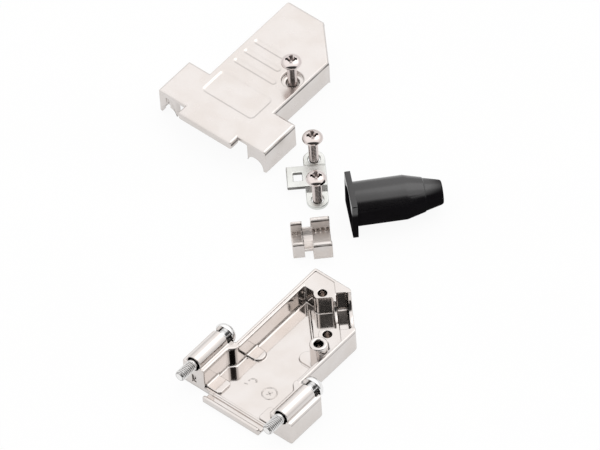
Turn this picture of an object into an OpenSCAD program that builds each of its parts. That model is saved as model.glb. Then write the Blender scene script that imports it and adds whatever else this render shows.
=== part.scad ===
// Metal hood for a 9-way D-sub connector, cable leaving at 45 degrees.
// Shown taken apart on a table: lower shell with its two jackscrews, cover with
// its screw, clamp strap with its two screws, cable saddle and rubber boot.
// Origin: on the underside of the lower shell, mid width, where flange and body meet.
// X runs along the connector, -Y is the connector side, +Z is up.

/* [Shells] */
// Width of the connector end
hood_w = 31; // [29.5:0.5:36]
// Depth of the connector end
flange_d = 10.8; // [9.5:0.2:13]
// Width of the body behind the connector end
body_w = 18.7; // [18:0.1:19.5]
// Length of the body behind the connector end
body_l = 27.4; // [25:0.2:34]
// Chamfer that the cable leaves through, along X and Y
exit_cut = 8.5; // [8.5:0.1:9.6]
// Height of the lower shell
lower_h = 6.7; // [6:0.1:8]
// Height of the cover
cover_h = 6.9; // [6:0.1:8.5]
// Wall thickness
wall_t = 1.3; // [1:0.1:1.4]
// Thickness of the floor and of the cover plate
floor_t = 1.1; // [0.8:0.1:1.4]
// Height of the step along the parting edge
rim_step = 0.35; // [0.2:0.05:0.6]

/* [Connector mouth] */
// Width of the opening between the jackscrew blocks
mouth_w = 18.7; // [17.5:0.1:19.5]
// Width of the lip in front of the mouth
lip_w = 16; // [12:0.5:18]
// Reach of the lip in front of the flange face
lip_reach = 2.6; // [1.5:0.1:4]
// Thickness of the lip of the cover
cover_lip_t = 2.2; // [1.5:0.1:3]
// Width of the groove that takes the connector flange
groove_w = 1.4; // [1:0.1:1.6]

/* [Jackscrews] */
// Distance between the jackscrews
jack_pitch = 24.99; // [24:0.01:26]
// Outer radius of the jackscrew tubes
tube_r = 2; // [1.9:0.05:2.4]
// Height of the jackscrew axis above the underside
jack_z = 7; // [6.5:0.1:8]
// Outer diameter of the M2.6 thread
jack_thread_d = 2.6; // [2.2:0.02:2.8]
// Diameter of the shank in its bore
jack_shank_d = 2.6; // [2.3:0.05:2.8]
// Radial running clearance of the shank
jack_gap = 0.06; // [0.03:0.01:0.1]
// Thread showing in front of the flange face
jack_out = 4.5; // [3:0.1:8]
// Diameter of the pan head
jack_head_d = 5.2; // [4.8:0.1:5.4]
// Length of the pan head
jack_head_l = 2.2; // [1.4:0.1:2.6]

/* [Cable clamp] */
// Distance between the clamp screws
clamp_pitch = 12; // [12:0.1:12.4]
// Distance from the exit face to the clamp screws
clamp_in = 6.3; // [6.1:0.1:6.8]
// Offset of the cable axis from the middle of the exit face
exit_shift = 0.05; // [0:0.05:0.8]
// Bore of the holes that the screws cut their thread in
tap_d = 2.1; // [1.9:0.05:2.2]
// Width of the saddle
saddle_w = 8.55; // [8:0.05:9]
// Height of the saddle
saddle_h = 4.75; // [4:0.05:5.5]
// Length of the front block of the saddle
saddle_front = 4.3; // [3.5:0.1:4.4]
// Length of the rear block of the saddle
saddle_rear = 2.6; // [2:0.1:3.5]
// Gap between the blocks, which straddles the rib in the shell
saddle_slot = 1.9; // [1.5:0.1:2.5]
// Thickness of the clamp strap
strap_t = 1; // [0.6:0.1:1.2]
// Width of the clamp strap
strap_w = 4.95; // [4.4:0.05:6]
// Rise of the middle of the strap
strap_rise = 1.2; // [0.6:0.1:2]

/* [Screws] */
// Outer diameter of the M2.5 screws
screw_d = 2.5; // [2.3:0.05:2.6]
// Length under the head
screw_l = 7.8; // [6:0.1:10]
// Diameter of the pan head
screw_head_d = 4.7; // [4:0.05:5]
// Height of the pan head
screw_head_h = 1.4; // [1.2:0.1:2]
// Diametral clearance of the screw holes
screw_gap = 0.3; // [0.15:0.05:0.5]

/* [Boot] */
// Width of the flange across its slot
boot_flange = 10.4; // [10:0.1:10.5]
// Thickness of the flange
boot_flange_t = 1.3; // [1:0.1:1.6]
// Diameter of the straight part
boot_d = 10; // [9:0.1:10]
// Length of the straight part
boot_body = 11.3; // [8.3:0.5:14.3]
// Length of the taper
boot_taper = 4.2; // [3:0.1:6]
// Length of the tip
boot_tip = 4.2; // [3:0.1:6]
// Diameter where the taper ends
boot_neck_d = 7.8; // [7:0.1:8.5]
// Diameter at the end of the tip
boot_end_d = 5; // [5:0.1:6.5]
// Bore of the tip
boot_bore = 4.2; // [3.5:0.1:4.4]

/* [Hidden] */
$fn = 48;
eps = 0.01;

// colours
nickel = [0.86, 0.83, 0.80];
bright_nickel = [0.90, 0.88, 0.86];
zinc = [0.80, 0.83, 0.82];
rubber = [0.10, 0.10, 0.11];

// shells
half_w = hood_w / 2;
half_body = body_w / 2;
lower_in = lower_h - floor_t;
ledge_w = wall_t / 2;
body_in = body_w - 2 * wall_t;
mouth_edge = mouth_w / 2;
mouth_chamfer = (mouth_w - body_in) / 2;
lip_ridge = 0.5;
lip_t = 0.9;
lip_h = 1.8;
pad_h = 0.6;

// cable exit: local frame with +x out through the exit face and y along it
exit_mid = [half_body - exit_cut / 2, body_l - exit_cut / 2];
slot_wall = 1.15;
slot_l = 2.3;
inner_wall = 0.7;
slot_w = boot_flange + 0.1;
pocket_end = slot_wall + slot_l + inner_wall;
pocket_w = saddle_w + 0.45;
pocket_l = saddle_front + 0.8;
rib_t = 0.45;
rib_reach = 1.1;
rib_h = 0.8;
clamp_boss_r = 2;
exit_r = boot_d / 2 + 0.1;

// cover screw
post_at = [half_body - 3.05, body_l - 17.5];
post_r = 2.05;
post_top = lower_h + 1.8;
recess_d = 0.9;
recess_r = screw_head_d / 2 + 0.2;
cover_boss_r = 2.8;

// cover plate
label_size = [15, 7.7];
label_at = [-0.5, 9.6 - flange_d];
label_depth = 0.2;
grip_w = 1.75;
grip_pitch = 3.55;
grip_left = -7.95;
grip_first_y = label_at[1] + 7.85;
grip_right = [4.3, 2.6, 0.9];

// jackscrews
tube_front = -flange_d + 0.45;
tube_back = -1.15;
jack_bore_r = jack_shank_d / 2 + jack_gap;
jack_mouth_r = tube_r - 0.3;
jack_mouth_l = 3.6;
notch_r = tube_r + 0.25;
notch_z = jack_z - lower_h + 0.5;
cover_mouth = mouth_edge + 0.85;
foot_z = 1.3;
key_w = 1.2;
key_h = 2.4;

// saddle
saddle_wall = 1.2;
saddle_floor = 0.72;
saddle_step = 0.85;
web_t = 0.55;
web_top = 2.6;
tooth_pitch = 1.08;
tooth_gap = 0.73;
tooth_h = 1.25;
saddle_l = saddle_rear + saddle_slot + saddle_front;

// strap
strap_hole_d = screw_d + screw_gap;
strap_flat = 6.3;
tab_w = 6.1;
tab_l = 4;
window = [2, 2.4];

// boot flange along the height of the hood, and the tilt of the lying boot, which
// rests on its flange and on the end of its straight part
boot_flange_up = boot_flange + 0.6;
boot_tilt = atan((boot_flange - boot_d) / 2 / boot_body);

// where each loose piece lies, as [x, y, turn about Z]
cover_lay = [-54.9, 56.61, 0];
strap_lay = [-29.25, 51, 43.7];
saddle_lay = [-17.97, 36.1, 45.3];
boot_lay = [-16.04, 46.85, 49];

// ---- shared shapes ---------------------------------------------------------

module rounded(size, r) {
    offset(r) offset(-r) square(size, center = true);
}

// outline of body and connector end, seen from above
module outline(inset = 0) {
    polygon([
        [-half_w + inset, -flange_d + inset], [half_w - inset, -flange_d + inset],
        [half_w - inset, -inset], [half_body - inset, -inset],
        [half_body - inset, body_l - exit_cut - inset * (sqrt(2) - 1)],
        [half_body - exit_cut - inset * (sqrt(2) - 1), body_l - inset],
        [-half_body + inset, body_l - inset], [-half_body + inset, -inset],
        [-half_w + inset, -inset]]);
}

// body room behind the mouth, seen from above
module room(inset = wall_t) {
    side = half_body - inset;
    polygon([
        [-mouth_edge, -flange_d - 1], [mouth_edge, -flange_d - 1],
        [mouth_edge, -wall_t - mouth_chamfer], [side, -wall_t],
        [side, body_l - exit_cut - inset * (sqrt(2) - 1)],
        [half_body - exit_cut - inset * (sqrt(2) - 1), body_l - inset],
        [-side, body_l - inset], [-side, -wall_t],
        [-mouth_edge, -wall_t - mouth_chamfer]]);
}

module at_exit() {
    translate([exit_mid[0] + exit_shift / sqrt(2), exit_mid[1] - exit_shift / sqrt(2), 0])
        rotate([0, 0, 45]) children();
}

module at_jacks() {
    for (side = [-1, 1]) translate([side * jack_pitch / 2, 0, 0]) children();
}

module along_y(r, from, to, z = 0, fn = 48) {
    translate([0, to, z]) rotate([90, 0, 0]) cylinder(r = r, h = to - from, $fn = fn);
}

// ---- lower shell -----------------------------------------------------------

// solid corners that carry the clamp screws
module clamp_blocks(h) {
    linear_extrude(h) intersection() {
        outline(wall_t / 2);
        union() {
            at_exit_2d() {
                for (side = [-1, 1]) {
                    translate([-clamp_in, side * clamp_pitch / 2]) circle(r = clamp_boss_r);
                    translate([-clamp_in, side < 0 ? -20 - pocket_w / 2 : pocket_w / 2]) square([20, 20]);
                }
            }
            translate([-half_body, body_l - exit_cut / 2 - 1]) square([half_body - 1, exit_cut]);
            translate([-half_body, body_l - exit_cut / 2 - 1]) square([4.2, exit_cut]);
        }
    }
}

module at_exit_2d() {
    translate([exit_mid[0] + exit_shift / sqrt(2), exit_mid[1] - exit_shift / sqrt(2)])
        rotate(45) children();
}

// wall between saddle pocket and boot slot
module inner_exit_wall(h) {
    at_exit() translate([-pocket_end, -pocket_w / 2 - 0.5, 0]) cube([inner_wall, pocket_w + 1, h]);
}

// what the clamp, the boot and the cable need cut out of a shell
module exit_cuts(h) {
    at_exit() {
        translate([-pocket_end - pocket_l, -pocket_w / 2, floor_t]) cube([pocket_l, pocket_w, h]);
        translate([-slot_wall - slot_l, -slot_w / 2, floor_t]) cube([slot_l, slot_w, h]);
        translate([-pocket_end - eps, 0, lower_h]) rotate([0, 90, 0])
            cylinder(r = saddle_w / 2 - 1.05, h = inner_wall + 2 * eps);
        translate([-slot_wall - eps, 0, lower_h]) rotate([0, 90, 0])
            cylinder(r = exit_r, h = slot_wall + 2);
    }
}

module ejector_pads() {
    pad_l = 3.6;
    translate([0, 0, floor_t - eps]) linear_extrude(pad_h + eps) {
        translate([-half_body + wall_t - eps, 2]) tongue(pad_l, 3.4);
        for (side = [-1, 1]) scale([side, 1])
            translate([mouth_edge, -flange_d + 0.6]) rotate(180) translate([0, -4]) tongue(3.9, 4, 0.8);
        translate([post_at[0], post_at[1] - 1.7]) rotate(180) translate([0, -3]) tongue(5, 3.4);
    }
}

module tongue(l, w, r = 1.6) {
    square([l - r, w]);
    translate([l - r, r]) circle(r = r);
    translate([l - r, w - r]) circle(r = r);
    translate([l - r - eps, r]) square([r, w - 2 * r]);
}

module lower_front() {
    // floor running forward between the blocks, its groove and its lip
    translate([-lip_w / 2, -flange_d - lip_reach, 0]) cube([lip_w, lip_t, lip_h]);
    translate([-lip_w / 2, -flange_d - lip_reach, 0]) cube([lip_w, lip_reach + 1, floor_t - 0.5]);
    translate([-lip_w / 2, -flange_d - lip_reach + lip_t + groove_w, 0])
        cube([lip_w, lip_reach - lip_t - groove_w + 1, floor_t]);
    translate([-mouth_edge, -flange_d + 0.05, 0]) cube([mouth_w, lip_ridge, floor_t + 0.25]);
}

module lower_shell() {
    color(bright_nickel) difference() {
        union() {
            difference() {
                linear_extrude(lower_h) outline();
                translate([0, 0, floor_t]) linear_extrude(lower_h) room();
            }
            clamp_blocks(lower_h);
            inner_exit_wall(lower_h);
            at_jacks() along_y(tube_r, tube_front, tube_back, jack_z);
            translate([post_at[0], post_at[1], 0]) cylinder(r = post_r, h = post_top);
            at_exit() translate([-pocket_end - pocket_l - rib_t, -pocket_w / 2, 0])
                cube([rib_t, pocket_w + rib_reach, floor_t + rib_h]);
            ejector_pads();
            lower_front();
        }
        exit_cuts(lower_h);
        // ledge inside the body rim, which lowers the clamp blocks as well
        translate([0, 0, lower_h - rim_step]) linear_extrude(1) difference() {
            intersection() {
                room(ledge_w);
                translate([-half_w, 0]) square([hood_w, body_l]);
            }
            at_exit_2d() translate([-slot_wall - slot_l, -20]) square([20, 40]);
            translate(post_at) circle(r = post_r);
        }
        // screw holes
        at_exit() for (side = [-1, 1]) translate([-clamp_in, side * clamp_pitch / 2, floor_t])
            cylinder(d = tap_d, h = lower_h);
        translate([post_at[0], post_at[1], floor_t + 0.6]) cylinder(d = tap_d, h = post_top);
        // jackscrew bores, their wide mouths and the room for the heads
        at_jacks() {
            along_y(jack_bore_r, -flange_d - 1, 1, jack_z);
            along_y(jack_mouth_r, -flange_d - 1, -flange_d + jack_mouth_l, jack_z);
            along_y(tube_r, tube_back, 1, jack_z);
        }
        // key pocket under the left jackscrew
        translate([-jack_pitch / 2 - key_w / 2, -flange_d - 1, 1]) cube([key_w, 1.8, key_h]);
    }
}

// ---- cover -----------------------------------------------------------------

module cover_recesses() {
    top = cover_h + eps;
    // shallow label panel with sloping sides
    translate([label_at[0], label_at[1], 0]) hull() {
        translate([0, 0, top]) linear_extrude(0.1) rounded(label_size, 1.2, $fn = 32);
        translate([0, 0, cover_h - label_depth]) linear_extrude(0.01)
            rounded(label_size - [0.9, 0.9], 0.9, $fn = 32);
    }
    // grip grooves, each ending short of the screw
    for (i = [0:2]) translate([0, grip_first_y + i * grip_pitch, cover_h - label_depth]) hull()
        for (x = [grip_left + grip_w / 2, grip_right[i] - grip_w / 2])
            translate([x, 0, 0]) cylinder(d1 = grip_w * 0.45, d2 = grip_w, h = label_depth + eps, $fn = 24);
}

module cover_body() {
    color(nickel) difference() {
        union() {
            difference() {
                linear_extrude(cover_h) outline();
                translate([0, 0, -1]) linear_extrude(cover_h - floor_t + 1) room();
                // room over the jackscrew blocks
                for (side = [-1, 1]) scale([side, 1, 1])
                    translate([mouth_edge - eps, -flange_d + wall_t, -1])
                        cube([half_w - mouth_edge - 0.45, flange_d - 2 * wall_t, cover_h - floor_t + 1]);
            }
            // lip in front of the mouth
            translate([-lip_w / 2 + 0.3, -flange_d - lip_reach, cover_h - cover_lip_t])
                cube([lip_w - 0.6, lip_reach + eps, cover_lip_t]);
            // boss over the post of the lower shell, and blocks over the clamp bosses
            translate([post_at[0], post_at[1], post_top - lower_h + 0.05])
                cylinder(r = cover_boss_r, h = cover_h - floor_t - (post_top - lower_h));
            // exit wall above the boot slot
            at_exit() translate([-slot_wall - 0.6, -slot_w / 2 - 1, 0])
                cube([slot_wall + 0.6, slot_w + 2, cover_h - floor_t]);
            // tongue that stands in the ledge of the lower shell
            translate([0, 0, -rim_step + 0.05]) linear_extrude(rim_step + 1) difference() {
                intersection() {
                    room(ledge_w + 0.05);
                    translate([-half_w, 0.3]) square([hood_w, 13.5]);
                }
                room();
                translate(post_at) circle(r = post_r + 0.15);
            }
        }
        // arches over the jackscrew tubes
        at_jacks() {
            along_y(notch_r, -flange_d - 1, 1, notch_z);
            translate([-notch_r, -flange_d - 1, -1]) cube([2 * notch_r, flange_d + 2, notch_z + 1]);
        }
        // wider mouth in the front wall of the cover, and the feet beside it cut short
        for (side = [-1, 1]) scale([side, 1, 1]) {
            translate([mouth_edge - eps, -flange_d - eps, -1])
                cube([cover_mouth - mouth_edge + eps, wall_t + 2 * eps, cover_h - floor_t + 1]);
            translate([cover_mouth - eps, -flange_d - eps, -1]) cube([0.4, wall_t + 2 * eps, foot_z + 1]);
        }
        // key pocket over the left arch, and room for the post
        translate([-jack_pitch / 2 - key_w / 2 - 0.4, -flange_d - 1, notch_z + notch_r - 0.2])
            cube([key_w, 1.6, 2.55]);
        translate([post_at[0], post_at[1], -1]) cylinder(r = post_r + 0.15, h = 1.05 + post_top - lower_h);
        // cable exit
        at_exit() translate([-slot_wall - 0.6 - eps, 0, 0]) rotate([0, 90, 0]) cylinder(r = exit_r, h = 3);
        // outer screw hole with its recess for the head
        translate([post_at[0], post_at[1], 0]) {
            translate([0, 0, -1]) cylinder(d = screw_d + screw_gap, h = cover_h + 2);
            translate([0, 0, cover_h - recess_d]) cylinder(r = recess_r, h = 2);
        }
        cover_recesses();
    }
}

module cover() {
    translate([cover_lay[0], cover_lay[1], rim_step - 0.05]) rotate([0, 0, cover_lay[2]]) cover_body();
}

// ---- screws ----------------------------------------------------------------

// cross recess cut in a head whose crown is at z = 0
module cross(size, depth) {
    for (turn = [0, 90]) rotate([0, 0, turn])
        translate([-size / 2, -size * 0.13, -depth]) cube([size, size * 0.26, depth + 1]);
    translate([0, 0, -depth * 1.25])
        cylinder(r1 = size * 0.12, r2 = size * 0.3, h = depth * 1.25 + eps, $fn = 16);
}

// pan head standing on z = 0: short rim and a domed crown
module pan_head(d, h) {
    r = d / 2;
    crown = h * 0.62;
    rotate_extrude($fn = 48) polygon(concat(
        [[0, 0], [r * 0.96, 0], [r, h * 0.08], [r, h - crown]],
        [for (a = [15:15:75]) [r * (0.42 + 0.58 * cos(a)), h - crown + crown * sin(a)]],
        [[r * 0.42, h], [0, h]]));
}

module clamp_screw() {
    difference() {
        union() {
            cylinder(d = screw_d, h = screw_l + eps, $fn = 40);
            translate([0, 0, screw_l]) pan_head(screw_head_d, screw_head_h);
        }
        translate([0, 0, screw_l + screw_head_h]) cross(2.7, 0.95);
        // pointed run-out of the thread
        difference() {
            translate([0, 0, -eps]) cylinder(d = screw_d + 1, h = 0.4);
            translate([0, 0, -2 * eps])
                cylinder(d1 = screw_d - 0.8, d2 = screw_d, h = 0.4 + 3 * eps, $fn = 40);
        }
    }
}

// the cover screw hangs in the cover with its tip started in the hole
module cover_screw() {
    hang = 6.45;
    seat = cover_h - recess_d + rim_step - 0.05;
    color(nickel) translate([cover_lay[0], cover_lay[1], 0]) rotate([0, 0, cover_lay[2]])
        translate([post_at[0], post_at[1], seat + hang - screw_l]) rotate([0, 0, 20]) clamp_screw();
}

module clamp_screw_rear() {
    color(nickel) at_strap() translate([0, clamp_pitch / 2, 0]) rotate([0, 0, -20]) clamp_screw();
}

module clamp_screw_front() {
    color(nickel) at_strap() translate([0, -clamp_pitch / 2, 0]) rotate([0, 0, -15]) clamp_screw();
}

// jackscrew along Y: thread, relief, shank and pan head
module jackscrew() {
    tip = 0.4;
    shank_front = -flange_d + jack_mouth_l - 0.4;
    thread_back = -flange_d - 0.1;
    head_front = 0.1;
    translate([0, 0, jack_z]) {
        along_y(jack_thread_d / 2, -flange_d - jack_out + tip, thread_back, 0, 40);
        translate([0, -flange_d - jack_out + tip + eps, 0]) rotate([90, 0, 0])
            cylinder(d1 = jack_thread_d, d2 = jack_thread_d - 0.8, h = tip, $fn = 40);
        along_y(jack_thread_d / 2 - 0.2, thread_back - eps, shank_front + eps, 0, 40);
        difference() {
            union() {
                along_y(jack_shank_d / 2, shank_front, head_front + eps, 0, 48);
                translate([0, head_front, 0]) rotate([-90, 0, 0]) pan_head(jack_head_d, jack_head_l);
            }
            translate([0, head_front + jack_head_l, 0]) rotate([-90, 0, 0]) cross(3, 1.2);
        }
    }
}

module jackscrew_left() {
    color(zinc) translate([-jack_pitch / 2, 0, 0]) jackscrew();
}

module jackscrew_right() {
    color(zinc) translate([jack_pitch / 2, 0, 0]) jackscrew();
}

// ---- cable clamp -----------------------------------------------------------

module at_strap() {
    translate([strap_lay[0], strap_lay[1], 0]) rotate([0, 0, strap_lay[2]]) children();
}

// side view of the strap, along its length, as a bent sheet
module strap_profile() {
    flat = strap_flat / 2;
    ramp = strap_rise * 1.05;
    end = clamp_pitch / 2 + strap_w;
    polygon([
        [-end, 0], [-flat - ramp, 0], [-flat, strap_rise], [flat, strap_rise], [flat + ramp, 0], [end, 0],
        [end, strap_t], [flat + ramp - 0.3, strap_t], [flat - 0.3, strap_rise + strap_t],
        [-flat + 0.3, strap_rise + strap_t], [-flat - ramp + 0.3, strap_t], [-end, strap_t]]);
}

module clamp_strap() {
    color(zinc) at_strap() difference() {
        union() {
            intersection() {
                translate([strap_w / 2, 0, 0]) rotate([90, 0, -90]) linear_extrude(strap_w) strap_profile();
                linear_extrude(10) union() {
                    for (side = [-1, 1]) translate([0, side * clamp_pitch / 2]) circle(d = strap_w);
                    square([strap_w, clamp_pitch], center = true);
                }
            }
            translate([-strap_w / 2 - tab_l, -tab_w / 2, strap_rise]) cube([tab_l + 1, tab_w, strap_t]);
        }
        for (side = [-1, 1]) translate([0, side * clamp_pitch / 2, -1]) cylinder(d = strap_hole_d, h = 10);
        translate([-strap_w / 2 - tab_l + 1.5, -window[1] / 2, -1]) cube([window[0], window[1], 10]);
    }
}

// round-bottomed channel along X, for the web
module channel(from, to, r, bottom) {
    axis = bottom + r;
    translate([from, 0, axis]) rotate([0, 90, 0]) cylinder(r = r, h = to - from, $fn = 64);
    translate([from, -r, axis]) cube([to - from, 2 * r, saddle_h]);
}

// one block of the saddle: straight walls, each with a row of cells along its foot
module saddle_block(from, to, w, side_wall, gaps) {
    inner = w / 2 - side_wall;
    first = (from + to) / 2 - (gaps - 1) * tooth_pitch / 2;
    cell = side_wall - 0.3;
    difference() {
        translate([from, -w / 2, 0]) cube([to - from, w, saddle_h]);
        translate([from - eps, -inner, saddle_floor]) cube([to - from + 2 * eps, 2 * inner, saddle_h]);
        for (side = [-1, 1], i = [0:gaps - 1])
            translate([first + i * tooth_pitch, side * (inner + cell / 2), saddle_floor + tooth_h / 2])
                cube([tooth_gap, cell + eps, tooth_h], center = true);
    }
}

module cable_saddle() {
    half = saddle_l / 2;
    r = saddle_w / 2 - 1.05;
    color(bright_nickel) translate([saddle_lay[0], saddle_lay[1], 0]) rotate([0, 0, saddle_lay[2]]) {
        saddle_block(half - saddle_front, half, saddle_w, saddle_wall, 4);
        saddle_block(-half, -half + saddle_rear, saddle_w - 2 * saddle_step, saddle_wall - 0.5, 2);
        // curved web between the blocks
        intersection() {
            difference() {
                translate([-half + saddle_rear - 0.3, 0, web_t + r + 0.1]) rotate([0, 90, 0])
                    cylinder(r = r + web_t, h = saddle_slot + 0.6, $fn = 64);
                channel(-half, half, r, web_t + 0.1);
            }
            translate([-half, saddle_step + 0.02 - saddle_w / 2, 0])
                cube([saddle_l, saddle_w - 2 * saddle_step - 0.04, web_top]);
        }
    }
}

// ---- boot ------------------------------------------------------------------

// half section of the rubber boot, x = radius and y = distance along it
module boot_section() {
    r = boot_d / 2;
    body_end = boot_flange_t + boot_body;
    neck_end = body_end + boot_taper;
    tip_end = neck_end + boot_tip;
    wall = 0.9;
    polygon([
        [r - wall, -eps], [r, 0], [r, body_end], [boot_neck_d / 2, neck_end],
        [boot_neck_d / 2 - 0.2, neck_end + 0.15], [boot_end_d / 2 + 0.3, tip_end - 0.4],
        [boot_end_d / 2 + 0.05, tip_end], [boot_bore / 2, tip_end], [boot_bore / 2, neck_end - 0.5],
        [r - wall, body_end - 1]]);
}

module cable_boot() {
    rise = boot_flange / 2 * cos(boot_tilt) + boot_flange_t * sin(boot_tilt);
    color(rubber) translate([boot_lay[0], boot_lay[1], rise]) rotate([0, 0, boot_lay[2]])
        rotate([0, 90 + boot_tilt, 0]) {
            rotate_extrude($fn = 64) boot_section();
            difference() {
                translate([0, 0, boot_flange_t / 2])
                    cube([boot_flange, boot_flange_up, boot_flange_t], center = true);
                translate([0, 0, -1]) cylinder(d = boot_d - 1.8, h = 5, $fn = 64);
            }
        }
}

lower_shell();
cover();
cover_screw();
clamp_strap();
clamp_screw_rear();
clamp_screw_front();
cable_saddle();
cable_boot();
jackscrew_left();
jackscrew_right();
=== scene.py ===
"""Looks of the D-sub hood: plated shells, screws, cable clamp and boot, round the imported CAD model."""
import math

import bpy
import numpy as np
from mathutils import Matrix, Vector


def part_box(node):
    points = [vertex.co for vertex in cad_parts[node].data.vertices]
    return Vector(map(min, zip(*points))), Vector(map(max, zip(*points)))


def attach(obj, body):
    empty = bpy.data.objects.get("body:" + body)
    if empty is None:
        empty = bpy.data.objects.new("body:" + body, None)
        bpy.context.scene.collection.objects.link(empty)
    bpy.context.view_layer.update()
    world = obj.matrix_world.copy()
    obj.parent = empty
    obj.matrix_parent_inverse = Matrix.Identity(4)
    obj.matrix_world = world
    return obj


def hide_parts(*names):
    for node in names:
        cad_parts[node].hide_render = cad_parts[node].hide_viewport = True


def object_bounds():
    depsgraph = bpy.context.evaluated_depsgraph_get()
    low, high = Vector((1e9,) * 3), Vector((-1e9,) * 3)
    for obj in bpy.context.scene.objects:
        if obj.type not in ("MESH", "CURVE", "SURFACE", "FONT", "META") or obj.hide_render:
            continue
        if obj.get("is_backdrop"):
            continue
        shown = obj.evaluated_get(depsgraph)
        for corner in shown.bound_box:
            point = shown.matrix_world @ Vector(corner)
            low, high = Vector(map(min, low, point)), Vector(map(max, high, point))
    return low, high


bl_info = {
    "name": "D-sub hood",
    "version": (1, 0, 0),
    "blender": (4, 5, 0),
    "location": "View3D > Sidebar > Hood",
    "description": "Builds the looks of a taken-apart D-sub hood round its CAD model",
    "category": "Object",
}

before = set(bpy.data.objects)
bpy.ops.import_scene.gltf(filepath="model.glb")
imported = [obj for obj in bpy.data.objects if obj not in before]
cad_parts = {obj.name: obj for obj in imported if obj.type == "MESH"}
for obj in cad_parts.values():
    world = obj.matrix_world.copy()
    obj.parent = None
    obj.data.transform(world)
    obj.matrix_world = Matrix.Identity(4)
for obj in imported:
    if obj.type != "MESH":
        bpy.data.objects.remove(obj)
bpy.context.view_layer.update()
MM = 0.001

# direction from the table to the camera: turn about Z, height above the table, and roll
CAMERA_TURN, CAMERA_HEIGHT, CAMERA_ROLL = 42.94, 49.06, 4.01
CAMERA_SHIFT = (-6.73 * MM, -34.44 * MM, -2630.5 * MM)
SENSOR, LENS = 36.0, 720.0

SHADE_COLOUR = (0.045, 0.036, 0.032)    # colour of painted shade: painted dark lines, painted dark reflections and painted shade in thread valleys
FLOOR = 1.1 * MM                 # top of the lower shell's floor
EXIT_CORNER = (-54.0, 84.0, 0.0)  # corner of the cover beside its exit, in mm, left unrounded
SADDLE_TURN = 45.3               # turn of the saddle on the table, in degrees

# radius of rod, height of head, and width and depth of cross recess
SMALL_ROD, SMALL_HEAD, SMALL_RECESS = 1.1 * MM, 1.4 * MM, (3.2 * MM, 1.3 * MM)
JACK_ROD, JACK_HEAD, JACK_RECESS = 1.3 * MM, 2.2 * MM, (2.9 * MM, 1.1 * MM)
JACK_THREAD = 4.4 * MM           # length of the jackscrews' thread


# ---- properties ------------------------------------------------------------

class HoodSizes(bpy.types.PropertyGroup):
    """Sizes that the CAD model leaves to the looks"""
    shell_round: bpy.props.FloatProperty(
        name="Shell edge radius", description="Rounding of the outer edges of both shells",
        default=0.6 * MM, min=0, unit="LENGTH")
    clamp_round: bpy.props.FloatProperty(
        name="Clamp edge radius", description="Rounding of the edges of strap and saddle",
        default=0.25 * MM, min=0, unit="LENGTH")
    boot_round: bpy.props.FloatProperty(
        name="Boot edge radius", description="Rounding of the edges of the boot",
        default=0.35 * MM, min=0, unit="LENGTH")
    pitch: bpy.props.FloatProperty(
        name="Thread pitch", description="Pitch of the M2.5 and M2.6 threads",
        default=0.45 * MM, min=0.0002, unit="LENGTH")
    thread_depth: bpy.props.FloatProperty(
        name="Thread depth", description="Height of the thread ridges",
        default=0.3 * MM, min=0, unit="LENGTH")


class HoodFinish(bpy.types.PropertyGroup):
    """Colours and gloss of the finishes"""
    nickel: bpy.props.FloatVectorProperty(
        name="Nickel", description="Colour of the nickel plate", subtype="COLOR",
        size=3, default=(0.70, 0.665, 0.645), min=0, max=1)
    cover_rough: bpy.props.FloatProperty(
        name="Cover roughness", description="Roughness of the satin cover",
        default=0.24, min=0, max=1, subtype="FACTOR")
    shell_rough: bpy.props.FloatProperty(
        name="Shell roughness", description="Roughness of the polished lower shell",
        default=0.1, min=0, max=1, subtype="FACTOR")
    zinc: bpy.props.FloatVectorProperty(
        name="Zinc", description="Colour of the zinc plate on strap and jackscrews", subtype="COLOR",
        size=3, default=(0.74, 0.745, 0.725), min=0, max=1)
    rubber: bpy.props.FloatVectorProperty(
        name="Rubber", description="Colour of the boot", subtype="COLOR",
        size=3, default=(0.0062, 0.0056, 0.0066), min=0, max=1)


class HoodStage(bpy.types.PropertyGroup):
    """Light and table"""
    sky: bpy.props.FloatProperty(
        name="Horizon", description="Brightness of the surroundings at table height", default=0.8, min=0)
    lift: bpy.props.FloatProperty(
        name="Lift", description="Extra brightness of the surroundings higher up", default=0.42, min=0)
    back_glow: bpy.props.FloatProperty(
        name="Back glow", description="Extra brightness high up behind the table", default=0.3, min=0)
    dark_angle: bpy.props.FloatProperty(
        name="Dark side", description="Half angle of the dark room in front of the table",
        default=math.radians(56), min=0, subtype="ANGLE")
    table: bpy.props.FloatProperty(
        name="Table", description="Side of the table", default=4.0, min=0.5, unit="LENGTH")


# ---- shader maths ----------------------------------------------------------

class Value:
    """An output socket in a node tree, so that shader maths reads as plain sums."""

    def __init__(self, tree, socket):
        self.tree, self.socket = tree, socket

    def sum(self, operation, *terms):
        return add(self.tree, "ShaderNodeMath", {"operation": operation}, dict(enumerate(terms)))

    def __add__(self, other):
        return self.sum("ADD", self, other)

    def __radd__(self, other):
        return self.sum("ADD", other, self)

    def __sub__(self, other):
        return self.sum("SUBTRACT", self, other)

    def __rsub__(self, other):
        return self.sum("SUBTRACT", other, self)

    def __mul__(self, other):
        return self.sum("MULTIPLY", self, other)

    def __pow__(self, other):
        return self.sum("POWER", self, other)

    def step(self, low, high):
        """0 below low, 1 above high, and smooth between them."""
        return add(self.tree, "ShaderNodeMapRange", {"interpolation_type": "SMOOTHSTEP"},
                   {"Value": self, "From Min": low, "From Max": high})


def add(tree, kind, settings=None, sockets=None, out=0):
    """A node of that type, with its settings made first and then its sockets' values or links."""
    node = tree.nodes.new(kind)
    for name, value in (settings or {}).items():
        setattr(node, name, value)
    for name, value in (sockets or {}).items():
        if isinstance(value, Value):
            tree.links.new(value.socket, node.inputs[name])
        else:
            node.inputs[name].default_value = value
    return Value(tree, node.outputs[out])


def grey(level):
    return (level, level, level, 1)


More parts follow.
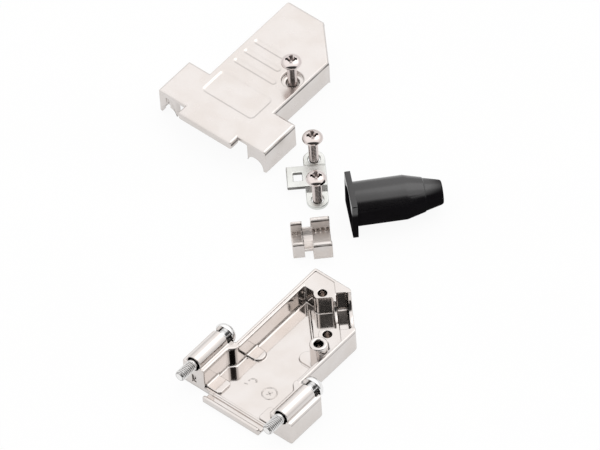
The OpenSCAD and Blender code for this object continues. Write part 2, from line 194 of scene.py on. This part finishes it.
def axis_of(tree, vector, number):
    return add(tree, "ShaderNodeSeparateXYZ", None, {0: vector}, number)


def dot(tree, vector, way):
    return add(tree, "ShaderNodeVectorMath", {"operation": "DOT_PRODUCT"}, {0: vector, 1: way}, 1)


def surface_normal(tree):
    return add(tree, "ShaderNodeNewGeometry", out=3)


def facing(tree, turn):
    """How squarely the surface faces the given turn about Z from -Y: 1 where it looks straight there."""
    turn = math.radians(turn)
    return dot(tree, surface_normal(tree), (math.sin(turn), -math.cos(turn), 0))


def finish_base(name):
    """A new material with its Principled shader, and the place on the object as a Value."""
    material = bpy.data.materials.new(name)
    material.use_nodes = True
    tree = material.node_tree
    shader = next(n for n in tree.nodes if n.type == "BSDF_PRINCIPLED")
    place = add(tree, "ShaderNodeTexCoord", out=3)
    return material, tree, shader, place


def noise(tree, place, scale, detail, rough=0.55):
    return add(tree, "ShaderNodeTexNoise", {"noise_dimensions": "3D"},
               {"Vector": place, "Scale": scale, "Detail": detail, "Roughness": rough})


def plug(tree, shader, **sockets):
    for name, value in sockets.items():
        name = name.replace("_", " ")
        if isinstance(value, Value):
            tree.links.new(value.socket, shader.inputs[name])
        else:
            shader.inputs[name].default_value = value


def blend_colour(tree, factor, low, high):
    return add(tree, "ShaderNodeMix", {"data_type": "RGBA", "blend_type": "MIX"},
               {0: factor, 6: low if isinstance(low, Value) else (*low[:3], 1),
                7: high if isinstance(high, Value) else (*high[:3], 1)}, 2)


def shade(colour, amount):
    return tuple(min(1.0, c * amount) for c in colour[:3])


# ---- finishes --------------------------------------------------------------

def plated_metal(name, colour, rough, grain=0.0, wave=0.0, edge=0.08 * MM, tint=(1.0, 0.985, 0.97),
                 nook_shade=0.5, reach=1.0 * MM, metallic=1.0, painted_shade=None):
    """Plated metal: soft blotches, fine grain, faint waves, softened edges and painted shade in nooks.

    Nooks get painted shade where another surface is within reach; the mask argument gives the share of
    painted shade and painted dark reflection at a place.
    """
    material, tree, shader, place = finish_base(name)
    blotch = noise(tree, place, 180, 2).step(0.3, 0.7)
    speck = noise(tree, place, 5200, 2, 0.7)
    warm = tuple(c * t for c, t in zip(colour, tint))
    base = blend_colour(tree, blotch, shade(colour, 1.02), shade(warm, 0.975))
    # painted shade: the colour is darkened where ambient occlusion finds another surface within reach
    open_air = add(tree, "ShaderNodeAmbientOcclusion", {"samples": 6}, {"Distance": reach}, 1)
    base = blend_colour(tree, open_air.step(0.05, 0.75), shade(warm, 1 - nook_shade), base)
    # painted shade and painted dark reflections from the mask, blended towards the shade colour
    if painted_shade:
        base = blend_colour(tree, painted_shade(tree, place), base, SHADE_COLOUR)
    haze = noise(tree, place, 420, 4).step(0.35, 0.75)
    roughness = rough + (haze - 0.5) * (rough * 0.35) + (speck - 0.5) * (rough * 0.5)
    normal = add(tree, "ShaderNodeBevel", {"samples": 4}, {"Radius": edge})
    if wave:
        swell = noise(tree, place, 260, 1)
        normal = add(tree, "ShaderNodeBump", None,
                     {"Strength": wave, "Distance": 0.05 * MM, "Height": swell, "Normal": normal})
    if grain:
        normal = add(tree, "ShaderNodeBump", None,
                     {"Strength": grain, "Distance": 0.01 * MM, "Height": speck, "Normal": normal})
    plug(tree, shader, Base_Color=base, Metallic=metallic, Roughness=roughness, Normal=normal,
         Specular_IOR_Level=0.0)
    return material


def shade_line(low, high, strength, turn=90):
    """Painted shade: a dark line between two heights on the walls that face the given turn about Z from -Y.
    """
    soft = 0.12 * MM

    def painted_shade(tree, place):
        height = axis_of(tree, place, 2)
        line = height.step(low - soft, low) * (1 - height.step(high, high + soft))
        patchy = noise(tree, place, 350, 2).step(0.25, 0.6) * 0.35 + 0.65
        return line * facing(tree, turn).step(0.75, 0.95) * patchy * strength
    return painted_shade


def dark_face(turn, low, high, strength):
    """Dark reflection on the walls in a box (corners in mm) that face the given turn about Z from -Y."""
    soft = 0.1 * MM

    def painted_shade(tree, place):
        inside = facing(tree, turn).step(0.9, 0.97)
        for number, (near, far) in enumerate(zip(low, high)):
            along = axis_of(tree, place, number)
            inside = inside * along.step(near * MM - soft, near * MM)
            inside = inside * (1 - along.step(far * MM, far * MM + soft))
        return inside * strength
    return painted_shade


def darkest(*painted_shades):
    """The strongest of several painted shades."""
    def painted_shade(tree, place):
        top, *rest = (make(tree, place) for make in painted_shades)
        for value in rest:
            top = top.sum("MAXIMUM", top, value)
        return top
    return painted_shade


def side_shade(low, strength):
    """Painted shade on the steep side faces above that height, where they see the shaded gap under the
    raised strap.
    """
    soft = 0.1 * MM

    def painted_shade(tree, place):
        up = axis_of(tree, surface_normal(tree), 2)
        raised = axis_of(tree, place, 2).step(low - soft, low + soft)
        return (1 - up.sum("ABSOLUTE", up).step(0.3, 0.7)) * raised * strength
    return painted_shade


def thread_shade(side, up, radius, strength):
    """Painted shade in the thread valleys of two rods along Y, each that far to its side of the middle and
    that high up.
    """
    def painted_shade(tree, place):
        across = axis_of(tree, place, 0)
        across = across.sum("ABSOLUTE", across) - side
        above = axis_of(tree, place, 2) - up
        off = (across * across + above * above) ** 0.5
        below_ridges = 1 - off.step(radius - 0.25 * MM, radius - 0.12 * MM)
        return below_ridges * off.step(0.6 * radius, 0.75 * radius) * strength
    return painted_shade


def rubber_finish(name, colour):
    """Black rubber with a faint moulded grain, glossy on its upper side and round its lowest rim."""
    material, tree, shader, place = finish_base(name)
    cloud = noise(tree, place, 150, 3).step(0.3, 0.7)
    pore = noise(tree, place, 3800, 2, 0.6)
    base = blend_colour(tree, cloud, colour, shade(colour, 1.35))
    height = axis_of(tree, place, 2)
    upper = height.step(7.0 * MM, 8.4 * MM)
    rim = 1 - height.step(0.1 * MM, 0.7 * MM)
    sheen = upper * 0.985 + rim * 0.7 + 0.015
    bump = add(tree, "ShaderNodeBump", None, {"Strength": 0.1, "Distance": 0.01 * MM, "Height": pore})
    plug(tree, shader, Base_Color=base, Roughness=0.6 + (pore - 0.5) * 0.1, Normal=bump,
         Coat_Weight=sheen * (0.94 + cloud * 0.06), Coat_Roughness=0.2, Coat_IOR=1.74, Coat_Normal=bump,
         Specular_IOR_Level=0.0)
    return material


def use(piece, material):
    piece.data.materials.clear()
    piece.data.materials.append(material)
    for face in piece.data.polygons:
        face.material_index = 0


# ---- mesh tools ------------------------------------------------------------

def only(piece):
    """Selects that piece alone and makes it active."""
    if bpy.context.object and bpy.context.object.mode != "OBJECT":
        bpy.ops.object.mode_set(mode="OBJECT")
    bpy.ops.object.select_all(action="DESELECT")
    piece.select_set(True)
    bpy.context.view_layer.objects.active = piece


def apply_modifier(piece, name):
    only(piece)
    bpy.ops.object.modifier_apply(modifier=name)


def settle(piece):
    """Puts the piece's place into its mesh, so that its object sits at the origin."""
    only(piece)
    bpy.ops.object.transform_apply(location=True, rotation=True, scale=True)


def twin(node, name):
    """A new piece with the shape of a CAD node: its triangles merged and joined into flat faces."""
    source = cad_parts[node]
    piece = bpy.data.objects.new(name, source.data.copy())
    bpy.context.scene.collection.objects.link(piece)
    only(piece)
    bpy.ops.object.mode_set(mode="EDIT")
    bpy.ops.mesh.select_all(action="SELECT")
    bpy.ops.mesh.remove_doubles(threshold=2e-6)
    bpy.ops.mesh.dissolve_limited(angle_limit=math.radians(1.0))
    bpy.ops.object.mode_set(mode="OBJECT")
    if piece.data.has_custom_normals:
        bpy.ops.mesh.customdata_custom_splitnormals_clear()
    return piece


def sharp_edges(mesh, angle):
    """Index of each edge whose two faces meet at more than that angle."""
    count = {}
    for face in mesh.polygons:
        for key in face.edge_keys:
            count.setdefault(key, []).append(face.normal)
    found = []
    for edge in mesh.edges:
        faces = count.get(tuple(sorted(edge.vertices)), [])
        if len(faces) == 2 and faces[0].angle(faces[1], 0) > angle:
            found.append(edge.index)
    return found


def round_edges(piece, radius, keep=lambda middle: 1.0):
    """Bevels each sharp edge by radius, or by less where another edge is near, times what keep says."""
    share = 0.4
    mesh = piece.data
    found = sharp_edges(mesh, math.radians(28))
    at = {}
    for e in found:
        for v in mesh.edges[e].vertices:
            at.setdefault(v, []).append(e)
    # edges that run on smoothly into each other form one chain
    chain = {e: e for e in found}

    def root(e):
        while chain[e] != e:
            e = chain[e]
        return e

    def away(e, v):
        a, b = mesh.edges[e].vertices
        return (mesh.vertices[b if a == v else a].co - mesh.vertices[v].co).normalized()

    for v, edges in at.items():
        if len(edges) == 2 and away(edges[0], v).angle(-away(edges[1], v), 3) < math.radians(40):
            chain[root(edges[0])] = root(edges[1])
    ends = {e: [np.array(mesh.vertices[v].co) for v in mesh.edges[e].vertices] for e in found}
    groups = {}
    for e in found:
        groups.setdefault(root(e), []).append(e)
    start = np.array([ends[e][0] for e in found])
    line = np.array([ends[e][1] for e in found]) - start
    group = np.array([root(e) for e in found])
    corner = {e: set(mesh.edges[e].vertices) for e in found}
    length2 = np.maximum((line ** 2).sum(1), 1e-18)
    weights = np.zeros(len(mesh.edges), np.float32)
    for k, e in enumerate(found):
        a, b = ends[e]
        nearest = 1.0
        for t in (0.25, 0.5, 0.75):
            p = a + (b - a) * t
            s = np.clip(((p - start) * line).sum(1) / length2, 0, 1)
            d = np.linalg.norm(start + line * s[:, None] - p, axis=1)
            d[group == group[k]] = 1.0
            for j in np.nonzero(d < 2.5 * radius)[0]:
                if corner[found[j]] & corner[e]:
                    d[j] = 1.0
            nearest = min(nearest, d.min())
        middle = Vector((a + b) / 2)
        weights[e] = min(1.0, share * nearest / radius) * keep(middle)
    # a chain has one width, its narrowest
    for members in groups.values():
        low = min(weights[e] for e in members)
        for e in members:
            weights[e] = low
    layer = (mesh.attributes.get("bevel_weight_edge")
             or mesh.attributes.new("bevel_weight_edge", "FLOAT", "EDGE"))
    layer.data.foreach_set("value", weights)
    bevel = piece.modifiers.new("rounding", "BEVEL")
    bevel.width, bevel.segments, bevel.limit_method = radius, 3, "WEIGHT"
    bevel.use_clamp_overlap = False
    bevel.harden_normals = False
    bevel.miter_outer = "MITER_SHARP"
    apply_modifier(piece, bevel.name)
    return piece


def smooth(piece, angle=38):
    """Smooth shading, with flat faces kept flat."""
    only(piece)
    bpy.ops.object.shade_smooth_by_angle(angle=math.radians(angle))
    weighted = piece.modifiers.new("even_normals", "WEIGHTED_NORMAL")
    weighted.keep_sharp = True
    apply_modifier(piece, weighted.name)


def place_piece(piece, body, slot, *nodes):
    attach(piece, body)
    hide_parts(*nodes)


def edit(piece):
    only(piece)
    bpy.ops.object.mode_set(mode="EDIT")
    bpy.ops.mesh.select_all(action="SELECT")


def leave():
    bpy.ops.object.mode_set(mode="OBJECT")


def lathe(name, profile, steps=64):
    """A closed turned piece about Z from a profile of (radius, height) points."""
    bpy.ops.object.select_all(action="DESELECT")
    bpy.ops.mesh.primitive_plane_add(size=2 * MM)
    piece = bpy.context.object
    piece.name = piece.data.name = name
    edit(piece)
    bpy.ops.mesh.delete(type="VERT")
    leave()
    mesh = piece.data
    mesh.vertices.add(len(profile))
    for vertex, (r, z) in zip(mesh.vertices, profile):
        vertex.co = (r, 0, z)
    mesh.edges.add(len(profile) - 1)
    for k, edge in enumerate(mesh.edges):
        edge.vertices = (k, k + 1)
    mesh.update()
    edit(piece)
    bpy.ops.mesh.spin(steps=steps, angle=2 * math.pi, center=(0, 0, 0), axis=(0, 0, 1))
    bpy.ops.mesh.select_all(action="SELECT")
    bpy.ops.mesh.remove_doubles(threshold=1e-7)
    bpy.ops.mesh.normals_make_consistent(inside=False)
    leave()
    return piece


def ring(x, y, z, radius, thick, half=False):
    """A thin raised ring lying on height z, or half of one."""
    bpy.ops.object.select_all(action="DESELECT")
    bpy.ops.mesh.primitive_torus_add(major_radius=radius, minor_radius=thick,
                                     major_segments=48, minor_segments=10)
    piece = bpy.context.object
    if half:
        edit(piece)
        bpy.ops.mesh.bisect(plane_co=(0, 0, 0), plane_no=(0.4, -1, 0), clear_outer=True, use_fill=True)
        leave()
    piece.location = (x, y, z)
    settle(piece)
    only(piece)
    bpy.ops.object.shade_smooth()
    return piece


def thread(name, radius, depth, low, high, pitch, tip=0.4 * MM, around=32, per_turn=8):
    """A closed threaded rod about Z, its ridges fading out at both ends."""
    rings = max(8, round((high - low) / pitch * per_turn))
    bpy.ops.object.select_all(action="DESELECT")
    bpy.ops.mesh.primitive_circle_add(vertices=around, radius=radius, fill_type="TRIFAN",
                                      location=(0, 0, low))
    piece = bpy.context.object
    piece.name = piece.data.name = name
    settle(piece)
    edit(piece)
    for _ in range(rings):
        bpy.ops.mesh.extrude_region_move(TRANSFORM_OT_translate={"value": (0, 0, (high - low) / rings)})
    bpy.ops.mesh.select_all(action="SELECT")
    bpy.ops.mesh.normals_make_consistent(inside=False)
    leave()
    for vertex in piece.data.vertices:
        x, y, z = vertex.co
        r = math.hypot(x, y)
        if r < radius * 0.5:
            continue
        turn = (z / pitch - math.atan2(y, x) / (2 * math.pi)) % 1.0
        ridge = max(0.0, 1 - abs(turn - 0.5) * 2 / 0.9)
        fade = min(1.0, max(0.0, (high - z) / (0.6 * pitch)))
        cone = min(1.0, max(0.0, (z - low) / tip))
        r = radius - depth * (1 - min(1.0, ridge * 1.25)) * fade
        r = min(r, radius - tip * 0.75 * (1 - cone))
        vertex.co.x, vertex.co.y = x / math.hypot(x, y) * r, y / math.hypot(x, y) * r
    return piece


def cross_cutter(size, depth, top):
    """The bit of a cross recess: two tapered bars and a pointed core."""
    parts = []
    tall = depth + 0.6 * MM  # stands out above the head
    for turn in (0, math.pi / 2):
        bpy.ops.object.select_all(action="DESELECT")
        bpy.ops.mesh.primitive_cube_add(size=1)
        bar = bpy.context.object
        bar.scale = (size, size * 0.24, tall)
        bar.location = (0, 0, top - depth + tall / 2)
        bar.rotation_euler = (0, 0, turn)
        settle(bar)
        for vertex in bar.data.vertices:
            if vertex.co.z < top - depth * 0.9:
                vertex.co.x *= 0.62
                vertex.co.y *= 0.62
        parts.append(bar)
    bpy.ops.object.select_all(action="DESELECT")
    bpy.ops.mesh.primitive_cone_add(vertices=16, radius1=0, radius2=size * 0.34, depth=depth * 1.3,
                                    location=(0, 0, top - depth * 0.62))
    core = bpy.context.object
    settle(core)
    parts.append(core)
    return parts


def cut(piece, cutters):
    for cutter in cutters:
        boolean = piece.modifiers.new("recess", "BOOLEAN")
        boolean.operation, boolean.object, boolean.solver = "DIFFERENCE", cutter, "EXACT"
        apply_modifier(piece, boolean.name)
        bpy.data.objects.remove(cutter)


def head_profile(radius, height, dome, inner):
    """Half outline of a pan head on z = 0, from the neck underneath to the axis on top.

    dome is the domed share of the height.
    """
    low = height * (1 - dome)
    points = [(inner, 0.0), (radius * 0.94, 0.0), (radius * 0.985, low * 0.4)]
    for k in range(9):
        a = math.radians(k * 10)
        points.append((radius * math.cos(a), low + height * dome * math.sin(a)))
    points.append((0.0, height))
    return points


def screw(name, radius, under_head, top, head_radius, thread_to, pitch, depth, recess, dome=0.86):
    """A pan head screw about Z, tip at 0: threaded rod, plain neck and domed head with a cross recess."""
    rod = thread(name + "_rod", radius, depth, 0.0, thread_to, pitch)
    neck, neck_foot = radius * 0.93, thread_to - 0.02 * MM
    outline = head_profile(head_radius, top - under_head, dome, neck)
    head = lathe(name, [(0.0, neck_foot), (neck, neck_foot)] + [(r, z + under_head) for r, z in outline])
    cut(head, cross_cutter(recess[0], recess[1], top))
    only(head)
    rod.select_set(True)
    bpy.ops.object.join()
    return head


def centre(node):
    low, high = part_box(node)
    return (low + high) / 2, low, high


# ---- operators -------------------------------------------------------------

class HOOD_OT_lower_shell(bpy.types.Operator):
    """Polished lower shell with its floor marks"""
    bl_idname = "hood.lower_shell"
    bl_label = "Lower shell"

    def execute(self, context):
        sizes, finish = context.scene.hood_sizes, context.scene.hood_finish
        shell = twin("lower_shell", "shell_lower")
        round_edges(shell, sizes.shell_round)
        smooth(shell)
        self.marks(shell)
        # painted shade in nooks, a painted dark line under the top edge of the walls facing +X, and a
        # painted dark reflection on the left inner wall
        use(shell, plated_metal("polished_nickel", finish.nickel, finish.shell_rough, wave=0.12,
                                edge=0.15 * MM, nook_shade=0.95, reach=1.3 * MM,
                                painted_shade=darkest(shade_line(5.95 * MM, 6.2 * MM, 0.4),
                                              dark_face(45, (-9.6, -3.4, 1.2), (-7.8, -0.9, 6.4), 0.97))))
        place_piece(shell, "hood", "shell", "lower_shell")
        return {"FINISHED"}

    def marks(self, shell):
        """Raised ring, half ring and bars cast into the floor."""
        made = [ring(2.8 * MM, -3.15 * MM, FLOOR, 1.65 * MM, 0.13 * MM),
                ring(-2.3 * MM, -2.8 * MM, FLOOR, 0.85 * MM, 0.13 * MM, half=True)]
        for x, y, long, turn in ((2.8, -3.15, 1.5, 62), (2.8, -3.15, 1.1, -28), (-3.1, -4.1, 0.7, 20)):
            bpy.ops.mesh.primitive_cube_add(size=1)
            bar = bpy.context.object
            bar.scale = (long * MM, 0.2 * MM, 0.2 * MM)
            bar.rotation_euler = (0, 0, math.radians(turn))
            bar.location = (x * MM, y * MM, FLOOR)
            settle(bar)
            made.append(bar)
        only(shell)
        for piece in made:
            piece.select_set(True)
        bpy.ops.object.join()


class HOOD_OT_cover(bpy.types.Operator):
    """Satin cover with its label panel and grip grooves"""
    bl_idname = "hood.cover"
    bl_label = "Cover"

    def execute(self, context):
        sizes, finish = context.scene.hood_sizes, context.scene.hood_finish
        cover = twin("cover", "shell_cover")
        corner = Vector(EXIT_CORNER) * MM
        round_edges(cover, sizes.shell_round, lambda middle: float((middle - corner).length > 2.5 * MM))
        smooth(cover, 14)
        # painted shade in nooks and a painted dark line under the top edge of the walls facing +X
        use(cover, plated_metal("satin_nickel", finish.nickel, finish.cover_rough, grain=0.03,
                                wave=0.05, edge=0.2 * MM, nook_shade=0.9, reach=0.8 * MM,
                                painted_shade=shade_line(6.15 * MM, 6.6 * MM, 0.85)))
        place_piece(cover, "hood", "cover", "cover")
        return {"FINISHED"}


class HOOD_OT_clamp(bpy.types.Operator):
    """Zinc clamp strap and nickel cable saddle"""
    bl_idname = "hood.clamp"
    bl_label = "Cable clamp"

    def execute(self, context):
        sizes, finish = context.scene.hood_sizes, context.scene.hood_finish
        strap = twin("clamp_strap", "strap")
        round_edges(strap, sizes.clamp_round)
        smooth(strap)
        # painted shade on the raised side faces
        use(strap, plated_metal("matt_zinc", finish.zinc, 0.45, grain=0.1, tint=(0.99, 1.0, 0.99), nook_shade=0.0,
                                painted_shade=side_shade(0.9 * MM, 0.75)))
        place_piece(strap, "hood", "strap", "clamp_strap")
        saddle = twin("cable_saddle", "saddle")
        round_edges(saddle, sizes.clamp_round * 2)
        smooth(saddle)
        # painted shade in nooks and a painted dark line under the top edge of the walls facing the saddle's
        # turn
        use(saddle, plated_metal("saddle_nickel", shade(finish.nickel, 1.08), 0.2, wave=0.2, nook_shade=0.97,
                                 reach=0.45 * MM, metallic=0.5, tint=(1.0, 0.97, 0.94),
                                 painted_shade=shade_line(4.15 * MM, 4.4 * MM, 1.0, SADDLE_TURN)))
        place_piece(saddle, "hood", "shell", "cable_saddle")
        return {"FINISHED"}


class HOOD_OT_small_screws(bpy.types.Operator):
    """Cover screw and the two clamp screws"""
    bl_idname = "hood.small_screws"
    bl_label = "Small screws"

    def execute(self, context):
        sizes, finish = context.scene.hood_sizes, context.scene.hood_finish
        for node, turn in (("cover_screw", 38), ("clamp_screw_rear", 47), ("clamp_screw_front", 41)):
            mid, low, high = centre(node)
            top = high.z - low.z
            under_head = top - SMALL_HEAD
            # painted shade in nooks and the cross recess, and a painted dark reflection along the shank on
            # the side facing the camera
            metal = plated_metal("screw_nickel", (0.72, 0.655, 0.64), 0.12, nook_shade=0.95, reach=0.9 * MM,
                                 painted_shade=shade_line(low.z, high.z - SMALL_HEAD - 0.2 * MM, 0.6, CAMERA_TURN))
            piece = screw("pan_" + node, SMALL_ROD, under_head, top, (high.x - low.x) / 2,
                          under_head - 0.5 * MM, sizes.pitch, sizes.thread_depth * 0.45, SMALL_RECESS, 0.96)
            piece.rotation_euler = (0, 0, math.radians(turn))
            piece.location = (mid.x, mid.y, low.z)
            settle(piece)
            smooth(piece, 32)
            use(piece, metal)
            place_piece(piece, node, "screw", node)
        return {"FINISHED"}


class HOOD_OT_jackscrews(bpy.types.Operator):
    """The two long screws that hold the connector"""
    bl_idname = "hood.jackscrews"
    bl_label = "Jackscrews"

    def execute(self, context):
        sizes, finish = context.scene.hood_sizes, context.scene.hood_finish
        right = centre("jackscrew_right")[0]
        # painted shade in nooks and in the thread valleys
        metal = plated_metal("bright_zinc", (0.84, 0.84, 0.84), 0.2, grain=0.1, nook_shade=0.85, reach=0.4 * MM,
                             painted_shade=thread_shade(right.x, right.z, JACK_ROD, 0.55))
        for node in ("jackscrew_left", "jackscrew_right"):
            mid, low, high = centre(node)
            top = high.y - low.y
            piece = screw("pan_" + node, JACK_ROD, top - JACK_HEAD, top, (high.z - low.z) / 2, JACK_THREAD,
                          sizes.pitch, sizes.thread_depth, JACK_RECESS)
            lie_down = Matrix.Rotation(-math.pi / 2, 4, "X")
            piece.matrix_world = Matrix.Translation((mid.x, low.y, mid.z)) @ lie_down
            settle(piece)
            smooth(piece, 32)
            use(piece, metal)
            place_piece(piece, node, "jackscrew", node)
        return {"FINISHED"}


class HOOD_OT_boot(bpy.types.Operator):
    """Black rubber cable boot"""
    bl_idname = "hood.boot"
    bl_label = "Cable boot"

    def execute(self, context):
        sizes, finish = context.scene.hood_sizes, context.scene.hood_finish
        boot = twin("cable_boot", "boot")
        round_edges(boot, sizes.boot_round)
        smooth(boot)
        use(boot, rubber_finish("black_rubber", finish.rubber))
        place_piece(boot, "hood", "boot", "cable_boot")
        return {"FINISHED"}


class HOOD_OT_stage(bpy.types.Operator):
    """Camera, white surroundings and table"""
    bl_idname = "hood.stage"
    bl_label = "Stage"

    def execute(self, context):
        stage = context.scene.hood_stage
        self.camera(context)
        self.surroundings(context.scene, stage)
        self.table(stage)
        self.lamp()
        view = context.scene.view_settings
        view.view_transform = "Standard"
        return {"FINISHED"}

    def camera(self, context):
        turn, height, roll = (math.radians(a) for a in (CAMERA_TURN, CAMERA_HEIGHT, CAMERA_ROLL))
        spin = Matrix.Rotation(-turn, 3, "Z")
        up, out = math.sin(height), math.cos(height)
        tilt = Matrix(((1, 0, 0), (0, up, out), (0, -out, up)))
        lean = Matrix.Rotation(roll, 3, "Z")
        data = bpy.data.cameras.new("camera")
        data.sensor_width, data.lens = SENSOR, LENS
        data.clip_start, data.clip_end = 0.05, 50.0
        camera = bpy.data.objects.new("camera", data)
        context.scene.collection.objects.link(camera)
        back = (lean @ tilt @ spin).transposed()
        camera.matrix_world = Matrix.Translation(-(back @ Vector(CAMERA_SHIFT))) @ back.to_4x4()
        context.scene.camera = camera

    def surroundings(self, scene, stage):
        world = bpy.data.worlds.new("white_room")
        scene.world = world
        world.use_nodes = True
        tree = world.node_tree
        ground = next(n for n in tree.nodes if n.type == "BACKGROUND")
        way = add(tree, "ShaderNodeTexCoord", out=0)
        turn = math.radians(CAMERA_TURN)
        soft = math.radians(6)
        dark = dot(tree, way, (math.sin(turn), -math.cos(turn), 0)).step(
            math.cos(stage.dark_angle + soft), math.cos(stage.dark_angle - soft))
        glow = dot(tree, way, (0.12, 0.47, 0.875)).step(0.8, 1.0)
        high = dot(tree, way, (0, 0, 1)).step(0, 0.7)
        level = (stage.sky + high * stage.lift + glow * stage.back_glow) * (1 - dark * 0.96)
        camera = add(tree, "ShaderNodeLightPath", out=0)
        level = level + camera * (1 - level)
        tree.links.new(level.socket, ground.inputs["Strength"])
        ground.inputs["Color"].default_value = (1.0, 0.99, 0.985, 1)

    def table(self, stage):
        bpy.ops.object.select_all(action="DESELECT")
        low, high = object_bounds()
        middle = (low + high) / 2
        bpy.ops.mesh.primitive_plane_add(size=stage.table, location=(middle.x, middle.y, low.z - 0.02 * MM))
        table = bpy.context.object
        table.name = table.data.name = "table"
        settle(table)
        edit(table)
        bpy.ops.mesh.subdivide(number_cuts=3)
        leave()
        material = bpy.data.materials.new("white_table")
        material.use_nodes = True
        tree = material.node_tree
        shader = next(n for n in tree.nodes if n.type == "BSDF_PRINCIPLED")
        out = next(n for n in tree.nodes if n.type == "OUTPUT_MATERIAL")
        place = add(tree, "ShaderNodeTexCoord", out=3)
        mottle = noise(tree, place, 30, 2).step(0.3, 0.7)
        plug(tree, shader, Base_Color=blend_colour(tree, mottle, grey(0.86), grey(0.9)), Roughness=0.7,
             Specular_IOR_Level=0.2)
        glow = add(tree, "ShaderNodeEmission", None, {"Color": grey(1), "Strength": 1.0})
        path = tree.nodes.new("ShaderNodeLightPath")
        camera = Value(tree, path.outputs["Is Camera Ray"])
        glossy = Value(tree, path.outputs["Is Glossy Ray"])
        clear = Value(tree, path.outputs["Is Transmission Ray"])
        seen = camera.sum("MAXIMUM", camera * 0.93, camera.sum("MAXIMUM", glossy, clear) * 0.75)
        mixed = add(tree, "ShaderNodeMixShader", None,
                    {0: seen, 1: Value(tree, shader.outputs[0]), 2: glow})
        tree.links.new(mixed.socket, out.inputs["Surface"])
        use(table, material)
        table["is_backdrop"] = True

    def lamp(self):
        data = bpy.data.lights.new("key", "AREA")
        data.shape, data.size, data.energy = "SQUARE", 1.4, 2.4
        lamp = bpy.data.objects.new("key", data)
        bpy.context.scene.collection.objects.link(lamp)
        lamp.location = (0.17, 0.98, 1.73)
        lamp.rotation_mode = "QUATERNION"
        lamp.rotation_quaternion = (Vector((-0.02, 0.03, 0)) - lamp.location).to_track_quat("-Z", "Y")


PIECES = (HOOD_OT_lower_shell, HOOD_OT_cover, HOOD_OT_clamp, HOOD_OT_small_screws, HOOD_OT_jackscrews,
          HOOD_OT_boot, HOOD_OT_stage)


class HOOD_PT_panel(bpy.types.Panel):
    """Lists the hood's pieces and their settings"""
    bl_label = "D-sub hood"
    bl_idname = "HOOD_PT_panel"
    bl_space_type = "VIEW_3D"
    bl_region_type = "UI"
    bl_category = "Hood"

    def draw(self, context):
        for group in (context.scene.hood_sizes, context.scene.hood_finish, context.scene.hood_stage):
            column = self.layout.column()
            for name in group.bl_rna.properties.keys():
                if name not in ("rna_type", "name"):
                    column.prop(group, name)
        for piece in PIECES:
            self.layout.operator(piece.bl_idname)


CLASSES = (HoodSizes, HoodFinish, HoodStage, *PIECES, HOOD_PT_panel)


def register():
    for item in CLASSES:
        bpy.utils.register_class(item)
    bpy.types.Scene.hood_sizes = bpy.props.PointerProperty(type=HoodSizes)
    bpy.types.Scene.hood_finish = bpy.props.PointerProperty(type=HoodFinish)
    bpy.types.Scene.hood_stage = bpy.props.PointerProperty(type=HoodStage)


def unregister():
    del bpy.types.Scene.hood_stage, bpy.types.Scene.hood_finish, bpy.types.Scene.hood_sizes
    for item in reversed(CLASSES):
        bpy.utils.unregister_class(item)


def main():
    register()
    bpy.ops.hood.lower_shell()
    bpy.ops.hood.cover()
    bpy.ops.hood.clamp()
    bpy.ops.hood.small_screws()
    bpy.ops.hood.jackscrews()
    bpy.ops.hood.boot()
    bpy.ops.hood.stage()


if __name__ == "__main__":
    main()
